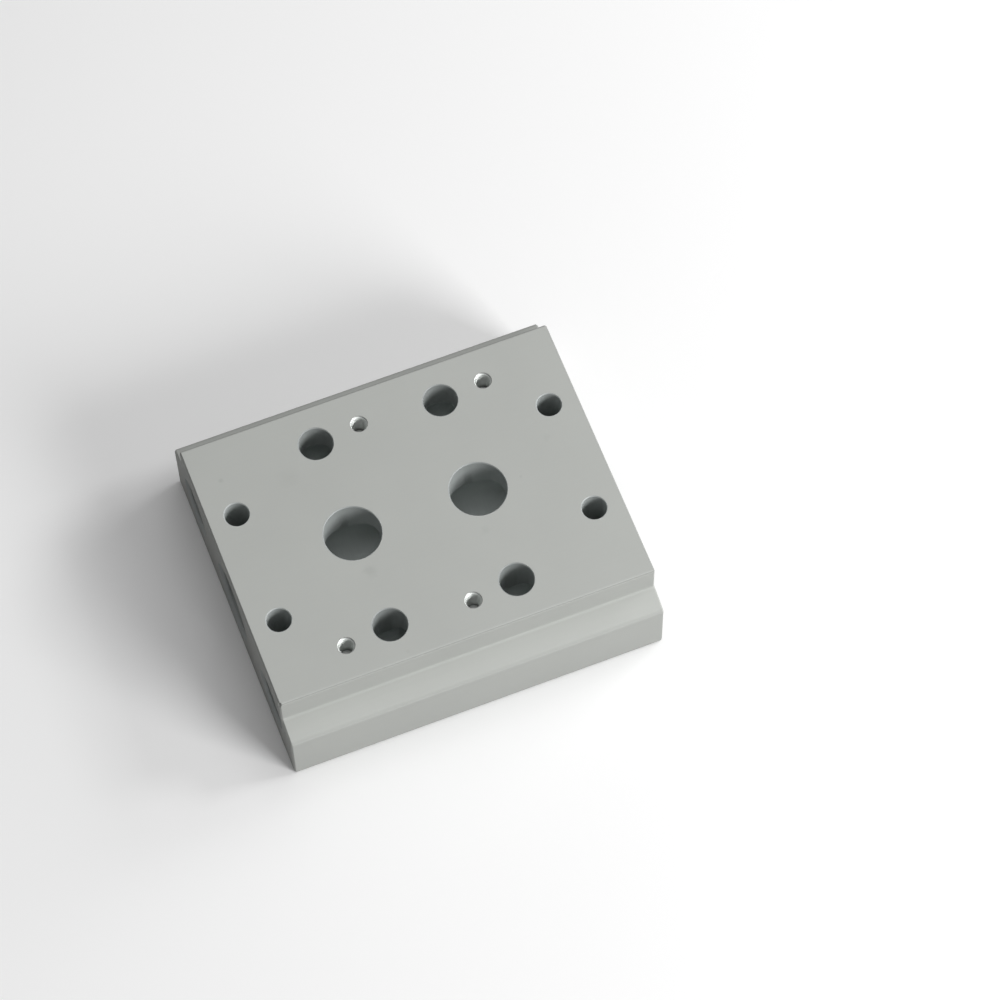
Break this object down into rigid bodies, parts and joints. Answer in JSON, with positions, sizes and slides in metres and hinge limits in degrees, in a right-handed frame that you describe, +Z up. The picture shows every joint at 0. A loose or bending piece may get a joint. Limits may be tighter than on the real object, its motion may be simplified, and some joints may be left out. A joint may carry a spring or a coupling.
{
  "type": "pneumatic valve manifold",
  "caption": "Stepped aluminium base block for a pair of side-ported solenoid valves, with supply and exhaust holes on its deck and threaded ports in both ends.",
  "frame": {"origin": "centre of the underside", "axes": "+X along the row of valve stations, +Y across the block, +Z up out of the deck that the valves stand on"},
  "size_m": [0.068, 0.06, 0.02],
  "materials": {
    "anodised_aluminium": "matte natural anodising over machined and extruded aluminium, bright cut threads"
  },
  "bodies": {
    "root": {"manifold_block": "anodised_aluminium"}
  },
  "joints": []
}
